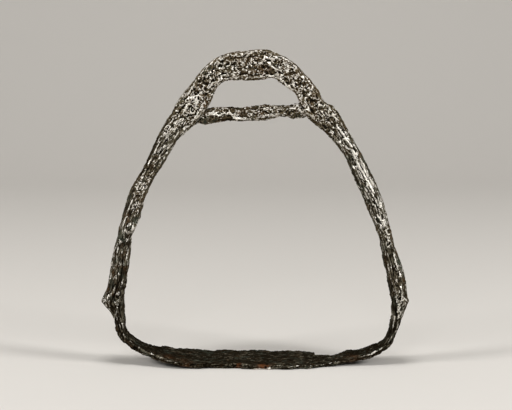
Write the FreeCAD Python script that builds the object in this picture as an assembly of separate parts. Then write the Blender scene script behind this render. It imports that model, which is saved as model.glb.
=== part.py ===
"""A hand-forged wrought-iron stirrup. Two arm bars lean together and are scarfed into one another on the
crown. A cross bar welded between the shoulders closes the strap slot. The tread is a thin plate whose
turned-up tongues are lapped inside the feet of the arms, and each foot flares into a spur above the end of
its lap. Millimetres, +Z up, -Y is the front, and the origin is on the floor under the middle of the whole."""
import FreeCAD, Part
import os
from FreeCAD import Vector

# Overall hoop, over the spurs and from the floor to the crown
HOOP_WIDTH = 148.0
HOOP_HEIGHT = 150.0

# Bar widths across the hoop: the crown band, the arms and the feet at the spurs
CROWN_WIDTH = 13.6
ARM_WIDTH = 8.2
SPUR_WIDTH = 10.2

# Bar depths, front to back: the bar is drawn deeper from the crown down to the feet
CROWN_DEPTH = 6.6
FOOT_DEPTH = 15.8

# Scarf weld between the two arms on the crown: its run through the depth and its lean across the band
SCARF_RUN = 11.0
SCARF_LEAN = 3.4

# Cross bar under the strap slot
CROSS_BAR_HEIGHT = 6.2
CROSS_BAR_DEPTH = 5.8

# Tread plate, the tongues turned up at its ends, and how far its underside is worn away where it stands
TREAD_DEPTH = 32.0
TREAD_THICKNESS = 2.4
TONGUE_DEPTH = 16.6
TONGUE_THICKNESS = 3.7
TONGUE_TIP_THICKNESS = 0.9
TONGUE_PROUD = 0.25
WORN_AWAY = 0.25

# One overrun for every cutting block
OVERRUN = 20.0

# Heights, as shares of the hoop height, between which the bar's section changes from foot to crown
FOOT_HEIGHT_SHARE = 0.20
CROWN_HEIGHT_SHARE = 0.92

# Bevels and ridge of the bar's section as shares of its width, at the foot, half way and at the crown
INNER_BEVEL_SHARES = (0.04, 0.16, 0.07)
OUTER_RIDGE_SHARES = (0.28, 0.20, 0.05)

# Places of the section's corners as shares of the bar's depth
INNER_FACE_SHARE = 0.32
OUTER_EDGE_SHARE = 0.40

# Stations of the bar's centre line: across share of half the hoop width, height share of the hoop height,
# and width share of the width named for that stretch
LEFT_HEEL_SHARES = (
    (-0.894, 0.145, 0.43),
    (-0.906, 0.166, 0.60),
)
LEFT_FOOT_SHARES = (
    (-0.934, 0.191, 1.02),
    (-0.914, 0.230, 0.83),
    (-0.897, 0.269, 0.79),
)
LEFT_ARM_SHARES = (
    (-0.879, 0.320, 1.01),
    (-0.857, 0.380, 0.91),
    (-0.836, 0.430, 0.83),
    (-0.805, 0.470, 1.01),
    (-0.780, 0.519, 0.93),
    (-0.731, 0.573, 0.94),
    (-0.661, 0.635, 0.87),
    (-0.611, 0.682, 1.03),
    (-0.541, 0.743, 1.13),
)
CROWN_SHARES = (
    (-0.460, 0.790, 0.88),
    (-0.400, 0.831, 0.98),
    (-0.330, 0.886, 0.81),
    (-0.267, 0.926, 0.77),
    (-0.169, 0.948, 0.92),
    (-0.038, 0.952, 1.02),
    (0.074, 0.955, 0.98),
    (0.159, 0.944, 0.78),
    (0.208, 0.925, 0.79),
    (0.274, 0.898, 0.70),
    (0.332, 0.862, 0.73),
    (0.386, 0.813, 0.79),
    (0.427, 0.798, 0.87),
)
RIGHT_ARM_SHARES = (
    (0.512, 0.751, 1.17),
    (0.609, 0.679, 0.91),
    (0.678, 0.609, 1.02),
    (0.753, 0.530, 0.99),
    (0.795, 0.469, 0.88),
    (0.839, 0.405, 0.73),
    (0.864, 0.353, 0.83),
)
RIGHT_FOOT_SHARES = (
    (0.907, 0.282, 0.775),
    (0.924, 0.235, 0.755),
    (0.940, 0.197, 0.785),
)
RIGHT_HEEL_SHARES = (
    (0.926, 0.165, 0.54),
    (0.916, 0.141, 0.42),
)

# Where the scarf crosses the middle of the crown band
SCARF_PLACE_SHARES = (0.080, 0.954)

# Stations of the cross bar, left to right: across share of half the hoop width, height share of the hoop
# height, then height and depth as shares of the cross bar's own
CROSS_BAR_SHARES = (
    (-0.460, 0.768, 0.80, 0.90),
    (-0.372, 0.789, 1.02, 0.98),
    (-0.290, 0.793, 1.08, 1.02),
    (-0.190, 0.798, 1.04, 1.00),
    (-0.060, 0.798, 1.04, 0.96),
    (0.060, 0.804, 1.08, 1.00),
    (0.165, 0.807, 0.82, 0.92),
    (0.250, 0.808, 1.02, 1.02),
    (0.325, 0.812, 0.84, 1.00),
    (0.405, 0.808, 0.75, 0.90),
)
CROSS_BAR_BEVEL_SHARE = 0.48

# Stations of the tread's underside between the tongues: across share of half the hoop width, rise share of
# the hoop height, thickness share, then reach to the front and to the back as shares of half the tread depth
TREAD_SHARES = (
    (-0.901, 0.112, 1.58, 0.52, 0.52),
    (-0.877, 0.085, 1.36, 0.50, 0.50),
    (-0.828, 0.062, 1.22, 0.48, 0.48),
    (-0.773, 0.043, 1.23, 0.52, 0.52),
    (-0.696, 0.029, 1.08, 0.58, 0.57),
    (-0.608, 0.019, 0.98, 0.75, 0.73),
    (-0.518, 0.011, 1.00, 0.94, 0.92),
    (-0.405, 0.003, 1.12, 0.96, 0.97),
    (-0.243, 0.000, 1.19, 0.88, 0.88),
    (-0.081, 0.000, 1.02, 0.94, 0.94),
    (0.081, 0.000, 0.90, 1.00, 1.00),
    (0.243, 0.000, 0.88, 1.00, 0.98),
    (0.405, 0.000, 0.88, 0.80, 0.82),
    (0.500, 0.004, 0.84, 0.66, 0.68),
    (0.595, 0.012, 0.80, 0.58, 0.60),
    (0.708, 0.020, 0.86, 0.55, 0.56),
    (0.798, 0.037, 0.98, 0.48, 0.50),
    (0.864, 0.062, 0.90, 0.49, 0.49),
    (0.902, 0.097, 1.08, 0.51, 0.51),
)
TREAD_EDGE_SHARE = 0.74
TREAD_UNDERSIDE_SHARE = 0.72

# Corners of the rusted-out notch in the tread's back edge: across shares of half the hoop width and shares
# of half the tread depth. The middle corner is where the bottom of the notch bows deepest.
NOTCH_SHARES = ((0.386, 0.50), (0.480, 0.37), (0.590, 0.53))


def between(ends, share):
    """The value at a share of the way from the first of two values to the second."""
    first, last = ends
    return first + (last - first) * share


def along_bar(values, share):
    """The value at a share of the way through three values: at the foot, half way and at the crown."""
    foot, middle, crown = values
    if share < 0.5:
        return between((foot, middle), share * 2)
    return between((middle, crown), share * 2 - 1)


def hoop_point(across_share, height_share):
    return Vector(across_share * HOOP_WIDTH / 2, 0, height_share * HOOP_HEIGHT)


def normals(points):
    """Unit normals to the left of a path in the XZ plane, one for each of its points."""
    result = []
    for index in range(len(points)):
        before = points[max(index - 1, 0)]
        after = points[min(index + 1, len(points) - 1)]
        run = after.sub(before).normalize()
        result.append(Vector(-run.z, 0, run.x))
    return result


def section(point, normal, corners):
    """A closed wire through corners given as distance along the normal and place in the depth."""
    places = [point + normal * out + Vector(0, depth, 0) for out, depth in corners]
    return Part.makePolygon(places + places[:1])


def largest(shape):
    """The main solid of a cut, without crumbs."""
    return max(shape.Solids, key=lambda solid: solid.Volume)


def bar_stations(rows, width):
    """Centre, width and share of the way up to the crown, for each row of a table."""
    stations = []
    for across_share, height_share, width_share in rows:
        rise = (height_share - FOOT_HEIGHT_SHARE) / (CROWN_HEIGHT_SHARE - FOOT_HEIGHT_SHARE)
        rise = min(max(rise, 0), 1)
        stations.append((hoop_point(across_share, height_share), width_share * width, rise))
    return stations


def whole_bar():
    """Stations and outward normals from heel to heel. The heels are level, out of line with the arms."""
    left = bar_stations(LEFT_FOOT_SHARES, SPUR_WIDTH) + bar_stations(LEFT_ARM_SHARES, ARM_WIDTH)
    right = bar_stations(RIGHT_ARM_SHARES, ARM_WIDTH) + bar_stations(RIGHT_FOOT_SHARES, SPUR_WIDTH)
    run = left + bar_stations(CROWN_SHARES, CROWN_WIDTH) + right
    left_heel = [(station, Vector(-1, 0, 0)) for station in bar_stations(LEFT_HEEL_SHARES, SPUR_WIDTH)]
    right_heel = [(station, Vector(1, 0, 0)) for station in bar_stations(RIGHT_HEEL_SHARES, SPUR_WIDTH)]
    return left_heel + list(zip(run, normals([centre for centre, _, _ in run]))) + right_heel


def bar_section(station, normal):
    """Flat inner face with bevels, flat front and back, and two facets that meet in a ridge outside."""
    centre, width, rise = station
    inner = -width / 2
    outer = width / 2
    bevel = width * along_bar(INNER_BEVEL_SHARES, rise)
    ridge = width * along_bar(OUTER_RIDGE_SHARES, rise)
    depth = between((FOOT_DEPTH, CROWN_DEPTH), rise)
    half = depth / 2
    flat = depth * INNER_FACE_SHARE
    edge = depth * OUTER_EDGE_SHARE
    corners = (
        (inner, -flat),
        (inner + bevel, -half),
        (outer - ridge, -edge),
        (outer, 0),
        (outer - ridge, edge),
        (inner + bevel, half),
        (inner, flat),
    )
    return section(centre, normal, corners)


def bow():
    """Both arms and the crown as one run of bar. The heels are drawn straight, so the spurs are crisp."""
    wires = [bar_section(station, normal) for station, normal in whole_bar()]
    left = len(LEFT_HEEL_SHARES)
    right = len(wires) - len(RIGHT_HEEL_SHARES)
    bar = Part.makeLoft(wires[left:right], True, False)
    left_heel = Part.makeLoft(wires[:left + 1], True, True)
    right_heel = Part.makeLoft(wires[right - 1:], True, True)
    return largest(bar.fuse([left_heel, right_heel]))


def right_of_scarf():
    """All the space to the right of the scarf, which leans across the band and slants through its depth."""
    lean = Vector(SCARF_LEAN, 0, CROWN_WIDTH).normalize()
    slant = Vector(-SCARF_RUN, CROWN_DEPTH, 0).normalize()
    rightward = slant.cross(lean).normalize()
    reach = HOOP_WIDTH + HOOP_HEIGHT
    middle = hoop_point(*SCARF_PLACE_SHARES)
    ways = ((-1, -1), (1, -1), (1, 1), (-1, 1))
    corners = [middle + lean * (reach * up) + slant * (reach * back) for up, back in ways]
    return Part.Face(Part.makePolygon(corners + corners[:1])).extrude(rightward * reach)


def tongue_rows(lap):
    """Tread rows for one lap, from the heel up. They follow the foot's inner face and thin to the tip."""
    rows = []
    for index, ((centre, width, _), outward) in enumerate(lap):
        thickness = between((TONGUE_THICKNESS, TONGUE_TIP_THICKNESS), index / (len(lap) - 1))
        point = centre + outward * (thickness - width / 2 - TONGUE_PROUD)
        rows.append((point, outward * -1, thickness, TONGUE_DEPTH / 2, TONGUE_DEPTH / 2))
    return rows


def plate_rows(left_end, right_end):
    """Tread rows and normals between the points where the two tongues begin."""
    points = [hoop_point(row[0], row[1]) - Vector(0, 0, WORN_AWAY) for row in TREAD_SHARES]
    turns = normals([left_end] + points + [right_end])[1:-1]
    rows = []
    for point, normal, shares in zip(points, turns, TREAD_SHARES):
        _, _, thickness_share, front_share, back_share = shares
        thickness = thickness_share * TREAD_THICKNESS
        rows.append((point, normal, thickness, front_share * TREAD_DEPTH / 2, back_share * TREAD_DEPTH / 2))
    return rows


def tread_section(point, normal, thickness, front, back):
    """Flat top, thin upright edges, and an underside that is flat in the middle and rises to the edges."""
    lift = thickness * (1 - TREAD_EDGE_SHARE)
    corners = (
        (0, -front * TREAD_UNDERSIDE_SHARE),
        (0, back * TREAD_UNDERSIDE_SHARE),
        (lift, back),
        (thickness, back),
        (thickness, -front),
        (lift, -front),
    )
    return section(point, normal, corners)


def notch():
    """The rusted-out bite in the back edge: a steep end towards the middle and a long bowed bottom."""
    scale = (HOOP_WIDTH / 2, TREAD_DEPTH / 2)
    places = [Vector(across * scale[0], back * scale[1], -OVERRUN) for across, back in NOTCH_SHARES]
    steep, middle, end = places
    clear = Vector(0, OVERRUN, 0)
    bottom = Part.Arc(steep, middle, end).toShape()
    sides = Part.makePolygon([end, end + clear, steep + clear, steep]).Edges
    return Part.Face(Part.Wire([bottom] + sides)).extrude(Vector(0, 0, OVERRUN * 2))


def tread():
    """The plate, bent up into the heels, drawn straight to its tips, bitten by the notch and worn flat."""
    heel = len(LEFT_HEEL_SHARES)
    lap = heel + len(LEFT_FOOT_SHARES)
    bar = whole_bar()
    left = tongue_rows(bar[:lap])
    right = tongue_rows(bar[:-lap - 1:-1])
    bent = left[heel - 1::-1] + plate_rows(left[0][0], right[0][0]) + right[:heel]
    plate = Part.makeLoft([tread_section(*row) for row in bent], True, False)
    tips = []
    for rows in (left, right):
        tips.append(Part.makeLoft([tread_section(*row) for row in rows[heel - 1:]], True, True))
    below = Vector(-HOOP_WIDTH / 2, -TREAD_DEPTH, -OVERRUN)
    floor = Part.makeBox(HOOP_WIDTH, TREAD_DEPTH * 2, OVERRUN, below)
    return largest(plate.fuse(tips).cut([floor, notch()]))


def cross_bar(arms):
    """A bevelled bar trimmed to seat against the shoulders of both arms."""
    wires = []
    for across_share, height_share, tall_share, deep_share in CROSS_BAR_SHARES:
        tall = tall_share * CROSS_BAR_HEIGHT / 2
        deep = deep_share * CROSS_BAR_DEPTH / 2
        bevel = min(tall, deep) * CROSS_BAR_BEVEL_SHARE
        corners = (
            (tall, deep - bevel),
            (tall - bevel, deep),
            (bevel - tall, deep),
            (-tall, deep - bevel),
            (-tall, bevel - deep),
            (bevel - tall, -deep),
            (tall - bevel, -deep),
            (tall, bevel - deep),
        )
        wires.append(section(hoop_point(across_share, height_share), Vector(0, 0, 1), corners))
    return largest(Part.makeLoft(wires, True, False).cut(arms))


def main():
    os.makedirs("parts", exist_ok=True)
    plate = tread()
    arms = bow().cut(plate)
    right_side = right_of_scarf()
    parts = {
        "left_arm": largest(arms.cut(right_side)),
        "right_arm": largest(arms.common(right_side)),
        "cross_bar": cross_bar(arms),
        "tread": plate,
    }
    for name, shape in parts.items():
        print(name, "valid" if shape.isValid() else "not valid", "volume", round(shape.Volume, 1))
        shape.exportStep(f"parts/{name}.step")


main()
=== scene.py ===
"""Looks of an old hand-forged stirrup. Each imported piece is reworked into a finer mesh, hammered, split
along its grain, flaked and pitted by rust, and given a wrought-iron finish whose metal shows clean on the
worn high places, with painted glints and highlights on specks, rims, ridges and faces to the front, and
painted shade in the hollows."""
import math

import bmesh
import bpy
import numpy as np
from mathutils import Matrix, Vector, noise


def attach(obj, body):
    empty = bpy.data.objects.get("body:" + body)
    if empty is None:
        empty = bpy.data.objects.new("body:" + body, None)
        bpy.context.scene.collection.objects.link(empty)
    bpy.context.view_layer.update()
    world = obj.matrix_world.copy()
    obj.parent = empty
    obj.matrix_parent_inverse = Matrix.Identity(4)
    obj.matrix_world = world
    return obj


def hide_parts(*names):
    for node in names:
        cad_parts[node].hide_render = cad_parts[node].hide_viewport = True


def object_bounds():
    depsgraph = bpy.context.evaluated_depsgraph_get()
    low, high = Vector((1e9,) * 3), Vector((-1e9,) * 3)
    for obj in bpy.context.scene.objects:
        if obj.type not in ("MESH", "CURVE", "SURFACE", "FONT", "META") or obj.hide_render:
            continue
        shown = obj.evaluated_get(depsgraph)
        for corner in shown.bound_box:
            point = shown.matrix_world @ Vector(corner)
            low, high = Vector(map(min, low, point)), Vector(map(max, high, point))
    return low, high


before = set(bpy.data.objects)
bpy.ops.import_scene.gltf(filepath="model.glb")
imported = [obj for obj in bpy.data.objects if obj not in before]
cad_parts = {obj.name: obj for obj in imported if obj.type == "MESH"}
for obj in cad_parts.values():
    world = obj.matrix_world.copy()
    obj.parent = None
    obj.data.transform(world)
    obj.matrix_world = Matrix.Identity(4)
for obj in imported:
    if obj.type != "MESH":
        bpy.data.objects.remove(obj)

bl_info = {
    "name": "Hand-forged stirrup",
    "version": (1, 0, 0),
    "blender": (4, 5, 0),
    "location": "3D View > Sidebar > Stirrup",
    "description": "Weathers the forged pieces of an old wrought-iron stirrup and sets its stage",
    "category": "Object",
}

MM = 0.001

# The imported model's box, from which the places below are worked out
CAD_LOW, CAD_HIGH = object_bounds()
HALF_WIDTH = (CAD_HIGH.x - CAD_LOW.x) / 2
HALF_DEPTH = (CAD_HIGH.y - CAD_LOW.y) / 2
HEIGHT = CAD_HIGH.z

# Middle line of the bar from foot to foot: shares of the half width and of the height
BAR_LINE_SHARES = (
    (-0.894, 0.110), (-0.912, 0.180), (-0.934, 0.200), (-0.897, 0.269), (-0.857, 0.380), (-0.805, 0.470),
    (-0.731, 0.573), (-0.611, 0.682), (-0.460, 0.790), (-0.330, 0.886), (-0.267, 0.926), (-0.169, 0.948),
    (0.074, 0.955), (0.208, 0.925), (0.332, 0.862), (0.427, 0.798), (0.609, 0.679), (0.753, 0.530),
    (0.839, 0.405), (0.907, 0.282), (0.940, 0.200), (0.920, 0.180), (0.905, 0.110),
)
# Middle line of the tread from tongue tip to tongue tip, in the same shares
TREAD_LINE_SHARES = (
    (-0.870, 0.290), (-0.880, 0.150), (-0.850, 0.080), (-0.760, 0.050), (-0.600, 0.025), (-0.400, 0.010),
    (0.400, 0.010), (0.600, 0.020), (0.760, 0.040), (0.850, 0.075), (0.885, 0.150), (0.880, 0.290),
)
CROSS_BAR_LINE_SHARES = ((-0.460, 0.780), (0.405, 0.808))

# Heights, as shares of the whole, between which the streaked arms turn into the pitted crown
CROWN_START_SHARE = 0.66
CROWN_FULL_SHARE = 0.84

# Places rubbed bright, or left dark where the last number is below zero. Some are wear and some are painted
# light:
# bright painted highlights, such as the band down the right arm, and painted shade, such as under the crown by
# the slot. Across and up as shares of the half width and of the height, then reach as a share of the height,
# then strength
RUBBED_AND_LIT_SHARES = (
    # Crown and shoulders
    (-0.42, 0.820, 0.035, 0.30),
    (-0.38, 0.856, 0.022, 1.30),
    (-0.29, 0.888, 0.015, 0.60),
    (-0.19, 0.922, 0.014, 0.60),
    (-0.13, 0.942, 0.012, 0.60),
    (-0.46, 0.775, 0.020, 0.90),
    (-0.49, 0.800, 0.018, -0.40),
    (-0.31, 0.946, 0.018, -0.60),
    (-0.31, 0.838, 0.014, -1.00),
    (-0.38, 0.825, 0.012, 0.60),
    (-0.36, 0.784, 0.012, 0.60),
    (-0.22, 0.950, 0.035, 0.15),
    (-0.08, 0.952, 0.035, 0.40),
    (0.03, 0.996, 0.018, -0.35),
    (0.09, 0.934, 0.018, -0.45),
    (0.22, 0.945, 0.030, 0.15),
    (0.19, 0.953, 0.016, 1.10),
    (0.26, 0.953, 0.016, -1.00),
    (0.245, 0.908, 0.014, 0.80),
    (0.33, 0.855, 0.012, 0.60),
    (0.39, 0.858, 0.013, -0.60),
    (0.37, 0.828, 0.018, 0.60),
    (0.47, 0.793, 0.016, 0.80),
    (0.52, 0.800, 0.014, -0.60),
    # Cross bar
    (-0.26, 0.800, 0.025, 0.60),
    (-0.26, 0.780, 0.015, -0.80),
    (-0.13, 0.788, 0.010, 1.60),
    (-0.08, 0.808, 0.016, -0.40),
    (0.04, 0.806, 0.014, -0.30),
    (0.02, 0.786, 0.012, 1.10),
    (0.12, 0.795, 0.020, 0.50),
    (0.21, 0.806, 0.015, -0.50),
    (0.28, 0.818, 0.014, 0.80),
    # Left arm
    (-0.54, 0.745, 0.016, 0.50),
    (-0.52, 0.715, 0.014, -0.80),
    (-0.58, 0.695, 0.013, 0.70),
    (-0.61, 0.630, 0.020, -0.35),
    (-0.69, 0.640, 0.022, -0.90),
    (-0.73, 0.606, 0.014, -0.60),
    (-0.72, 0.560, 0.020, 1.00),
    (-0.755, 0.512, 0.014, 0.60),
    (-0.77, 0.473, 0.018, -0.90),
    (-0.83, 0.430, 0.012, 0.70),
    (-0.80, 0.430, 0.050, -0.30),
    (-0.885, 0.412, 0.022, -1.00),
    (-0.86, 0.374, 0.012, 0.60),
    (-0.88, 0.290, 0.070, -0.80),
    (-0.94, 0.300, 0.030, -0.40),
    (-0.83, 0.330, 0.035, 0.25),
    (-0.84, 0.240, 0.035, 0.60),
    # Right arm
    (0.48, 0.745, 0.020, -0.80),
    (0.58, 0.664, 0.018, -1.00),
    (0.64, 0.588, 0.017, -0.90),
    (0.69, 0.530, 0.014, -0.60),
    (0.76, 0.435, 0.018, -0.60),
    (0.57, 0.738, 0.015, 0.70),
    (0.625, 0.675, 0.015, 1.00),
    (0.66, 0.638, 0.014, 1.20),
    (0.69, 0.605, 0.014, 1.20),
    (0.70, 0.652, 0.015, -1.20),
    (0.73, 0.575, 0.015, 0.90),
    (0.80, 0.525, 0.014, 1.50),
    (0.83, 0.455, 0.012, 0.70),
    (0.80, 0.412, 0.012, -0.50),
    (0.84, 0.390, 0.015, 0.60),
    (0.83, 0.345, 0.020, -0.60),
    (0.92, 0.285, 0.012, 0.70),
    (0.90, 0.323, 0.012, 0.60),
    (0.90, 0.290, 0.060, -0.40),
    (0.93, 0.245, 0.025, -0.40),
    (0.87, 0.240, 0.030, 0.40),
    # Spurs, feet and the ends of the tread
    (-0.965, 0.235, 0.014, -1.00),
    (-0.93, 0.182, 0.018, -1.40),
    (-0.88, 0.158, 0.010, 0.80),
    (-0.86, 0.204, 0.015, 1.00),
    (-0.90, 0.150, 0.080, -0.15),
    (-0.83, 0.150, 0.035, 0.90),
    (-0.79, 0.090, 0.030, 0.50),
    (-0.78, 0.070, 0.080, -0.30),
    (0.895, 0.155, 0.016, 1.20),
    (0.89, 0.108, 0.012, -0.80),
    (0.90, 0.150, 0.080, -0.25),
    (0.84, 0.150, 0.035, 0.90),
    (0.84, 0.075, 0.020, 0.60),
    (0.78, 0.060, 0.080, -0.30),
)

# Lines of edge left standing: width in millimetres, height as a share of the edge height below, then points
# across and up as shares of the half width and of the height
RIDGE_SHARES = (
    # Outer edge of the crown, from the left shoulder over the scarf to the right arm
    (0.40, 0.9, (
        (-0.512, 0.823), (-0.435, 0.880), (-0.326, 0.946), (-0.237, 0.981), (-0.134, 0.993),
        (-0.045, 0.996), (0.083, 1.000), (0.179, 0.978),
    )),
    (0.40, 0.6, (
        (0.218, 0.971), (0.256, 0.952), (0.346, 0.908), (0.397, 0.880), (0.416, 0.845), (0.474, 0.814),
        (0.531, 0.767),
    )),
    (0.40, 0.6, (
        (0.480, 0.827), (0.525, 0.798), (0.576, 0.760), (0.666, 0.666), (0.730, 0.603), (0.794, 0.540),
        (0.851, 0.452),
    )),
    # The torn lip of the scarf and the edge of the recess beside it
    (0.45, 1.0, (
        (-0.026, 0.971), (0.000, 0.956), (0.038, 0.959), (0.058, 0.978), (0.077, 0.971), (0.134, 0.974),
    )),
    (0.45, 1.0, ((0.083, 0.959), (0.115, 0.943), (0.134, 0.934), (0.134, 0.915))),
    # Edges of the strap slot
    (0.35, 0.4, (
        (-0.205, 0.911), (-0.160, 0.911), (-0.115, 0.918), (-0.070, 0.921), (-0.019, 0.915), (0.038, 0.918),
        (0.115, 0.918),
    )),
    (0.40, 0.8, ((-0.262, 0.867), (-0.294, 0.849), (-0.307, 0.817))),
    (0.50, 0.7, ((0.160, 0.905), (0.198, 0.889), (0.230, 0.877))),
    # The ledge along the bottom of the cross bar
    (0.50, 1.0, ((-0.294, 0.801), (-0.230, 0.795), (-0.173, 0.805), (-0.134, 0.786), (-0.038, 0.783))),
    (0.40, 0.5, ((0.038, 0.779), (0.128, 0.783), (0.205, 0.792))),
    (0.40, 0.6, ((0.198, 0.817), (0.269, 0.827))),
    # Ridges down the left arm, round its bulge and over its spur
    (0.40, 0.6, ((-0.614, 0.713), (-0.691, 0.635), (-0.755, 0.572), (-0.813, 0.503))),
    (0.40, 0.7, ((-0.877, 0.414), (-0.922, 0.345), (-0.941, 0.263))),
    (0.45, 1.0, ((-0.730, 0.496), (-0.755, 0.465), (-0.787, 0.440), (-0.800, 0.408))),
    (0.40, 0.6, ((-0.928, 0.248), (-0.960, 0.213), (-0.941, 0.191))),
    (0.40, 0.8, ((-0.896, 0.185), (-0.883, 0.165), (-0.851, 0.119), (-0.806, 0.075))),
    (0.35, 0.9, ((-0.905, 0.165), (-0.877, 0.128), (-0.845, 0.090))),
    (0.40, 0.8, ((-0.838, 0.251), (-0.845, 0.188), (-0.813, 0.131), (-0.730, 0.087))),
    # Ridges down the right arm, along its inner edge and over its spur
    (0.45, 1.0, ((0.512, 0.767), (0.602, 0.704), (0.640, 0.654), (0.704, 0.597), (0.755, 0.553))),
    (0.40, 0.7, (
        (0.474, 0.726), (0.544, 0.679), (0.621, 0.603), (0.698, 0.531), (0.749, 0.474), (0.794, 0.414),
    )),
    (0.45, 0.8, ((0.890, 0.370), (0.896, 0.333), (0.928, 0.289))),
    (0.45, 1.0, ((0.934, 0.257), (0.941, 0.213), (0.909, 0.175))),
    (0.40, 0.8, ((0.864, 0.213), (0.858, 0.156), (0.819, 0.106), (0.742, 0.068))),
    (0.35, 0.7, ((0.922, 0.165), (0.909, 0.119), (0.883, 0.090))),
    (0.40, 0.9, ((0.893, 0.175), (0.883, 0.130), (0.858, 0.098))),
    # The front edge of the tread: its top corner on the left, its bottom corner on the right
    (0.35, 1.2, ((-0.845, 0.105), (-0.806, 0.085), (-0.749, 0.060), (-0.698, 0.048), (-0.660, 0.038))),
    (0.35, 1.1, ((-0.615, 0.031), (-0.570, 0.026), (-0.512, 0.021))),
    (0.35, 1.1, (
        (-0.013, 0.003), (0.058, 0.003), (0.147, 0.007), (0.211, 0.009), (0.275, 0.012), (0.339, 0.018),
    )),
    (0.35, 1.0, ((0.339, 0.010), (0.454, 0.010), (0.518, 0.018), (0.582, 0.024), (0.614, 0.031))),
    (0.45, 1.2, (
        (0.627, 0.028), (0.704, 0.032), (0.755, 0.042), (0.794, 0.049), (0.851, 0.078), (0.896, 0.108),
    )),
)

# Sunk bands in the same columns, their depth as a share of the same height
BAND_SHARES = (
    (1.6, 0.9, ((0.525, 0.694), (0.602, 0.628), (0.666, 0.565), (0.704, 0.515))),
    (1.4, 0.7, ((-0.563, 0.698), (-0.640, 0.616), (-0.704, 0.547))),
    (1.4, 0.9, ((-0.320, 0.783), (-0.243, 0.779), (-0.166, 0.783))),
    (1.2, 0.8, ((-0.915, 0.257), (-0.838, 0.251))),
    (1.6, 0.8, ((-0.794, 0.487), (-0.762, 0.503))),
    (1.4, 0.3, ((-0.845, 0.402), (-0.864, 0.333), (-0.877, 0.276))),
    (1.2, 0.6, ((0.902, 0.314), (0.915, 0.282))),
    (1.3, 0.3, ((0.832, 0.370), (0.858, 0.295), (0.870, 0.238))),
)

# Round holes with a standing rim: middle as shares, and radius in millimetres
HOLE_SHARES = (
    ((-0.416, 0.817), 2.2),
    ((0.851, 0.430), 1.5),
    ((0.851, 0.392), 1.4),
    ((0.934, 0.216), 1.2),
    ((-0.890, 0.223), 1.2),
    ((-0.320, 0.880), 1.4),
    ((-0.179, 0.959), 1.3),
    ((-0.192, 0.808), 1.3),
)
# Width of their rims and of their floors, as shares of the radius, and how unround they are
HOLE_RIM_SHARE = 0.25
HOLE_FLOOR_SHARE = 0.65
HOLE_WANDER = 0.7 * MM
HOLE_WANDER_WIDTH = 2 * MM

# Brown patches, in the columns of the rubbed and painted-light places
RUSTY_SHARES = (
    (-0.358, 0.880, 0.024, 0.6),
    (-0.102, 0.968, 0.034, 0.6),
    (-0.026, 0.930, 0.022, 0.7),
    (0.064, 0.940, 0.026, 0.8),
    (0.192, 0.943, 0.018, 0.3),
    (0.326, 0.880, 0.045, 0.3),
    (-0.090, 0.805, 0.026, 0.8),
    (-0.326, 0.833, 0.016, 0.8),
    (-0.384, 0.805, 0.020, 0.5),
)

# Orange stains on the tread: across as a share of the half width, towards the back as a share of the half
# depth, reach as a share of the half width, then strength
TREAD_RUST_SHARES = (
    (-0.56, -0.55, 0.045, 0.25),
    (-0.45, -0.80, 0.040, 0.50),
    (-0.11, -0.85, 0.018, 0.90),
    (0.05, -0.90, 0.035, 1.10),
    (0.62, -0.35, 0.050, 0.30),
)

# The stains fade out between these shares of the height
STAIN_FULL_SHARE = 0.1
STAIN_END_SHARE = 0.2

# Places on the arms that are pitted as the crown is, in the columns of the rubbed and painted-light places
PITTED_SHARES = (
    (-0.66, 0.620, 0.060, 0.70),
    (-0.75, 0.530, 0.050, 0.60),
    (0.84, 0.420, 0.030, 0.50),
    (0.90, 0.270, 0.045, 0.30),
)

# Strength of each mark on the streaked arms, then on the pitted crown
LUMPS = (0.3, 1.0)
GRAIN = (1.0, 0.25)
FACETS = (0.0, 1.0)
LONG_FACETS = (0.6, 0.0)
BITES = (0.3, 1.0)
ROUND_PITS = (0.0, 1.0)
LONG_PITS = (0.6, 0.0)
# The facets' tone is painted light and shade, each facet as bright as if it caught the light its own way
FACET_SHADING = (0.5, 0.15)
# Painted light: faces square to the front and back are made brighter and the bevels between them darker
FACING_LIGHT = (1.0, 0.85)

# What takes a spot towards bare metal, or away from it below zero. The rims of flakes, pits and holes are
# painted highlights and the floors of the holes painted shade; the standing ridges are partly worn bright and
# partly painted highlights
FLAKE_RIM_HIGHLIGHT = 0.45
PIT_RIM_HIGHLIGHT = 1.1
RIDGE_RUB_AND_HIGHLIGHT = 1.9
HOLE_HIGHLIGHT_AND_SHADE = 0.3
LOST_SCALE_RUB = -0.4
BAND_RUB = -0.8
RUST_RUB = -0.1

# The listed marks are on what looks to the front: none where a normal's Y is over the first of
# these, and all of them where it is under the second
FRONT_START = 0.1
FRONT_FULL = -0.3

# How far the drawn lines and spots wander, and over what length
WANDER = 0.35 * MM
WANDER_WIDTH = 1.5 * MM

# The drawn ridges are lowest where a noise is under the first level, and whole where it is over the second
BREAK_WIDTH = 2 * MM
BREAK_START = -0.3
BREAK_END = 0.2
BROKEN_RIDGE = 0.65

# Levels of the flake noise: where scale starts to be lost, where all of it is, and the rim just below
LOST_START = -0.03
LOST_FULL = 0.05
FLAKE_RIM = -0.05
FLAKE_RIM_WIDTH = 0.03
FLAKE_STRETCH = 2.2
KEPT_AT_LISTED_SPOTS = 0.25

# The long pits and facets along, across and through the bar, as shares of the width of the round ones
LONG_PIT_SHAPE = (1.8, 0.6, 0.6)
LONG_FACET_SHAPE = (5, 0.5, 0.5)

# The share of the cells that are pits, the least depth of one, the steep wall and the rim of each in shares
# of a cell, and what the rims come to on average
ROUND_PIT_FILL = 0.5
LONG_PIT_FILL = 0.35
LEAST_PIT = 0.25
PIT_WALL_TOP = 0.02
PIT_WALL_FOOT = 0.35
PIT_RIM_WIDTH = 0.2
PIT_RIM_MEAN = 0.35

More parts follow.
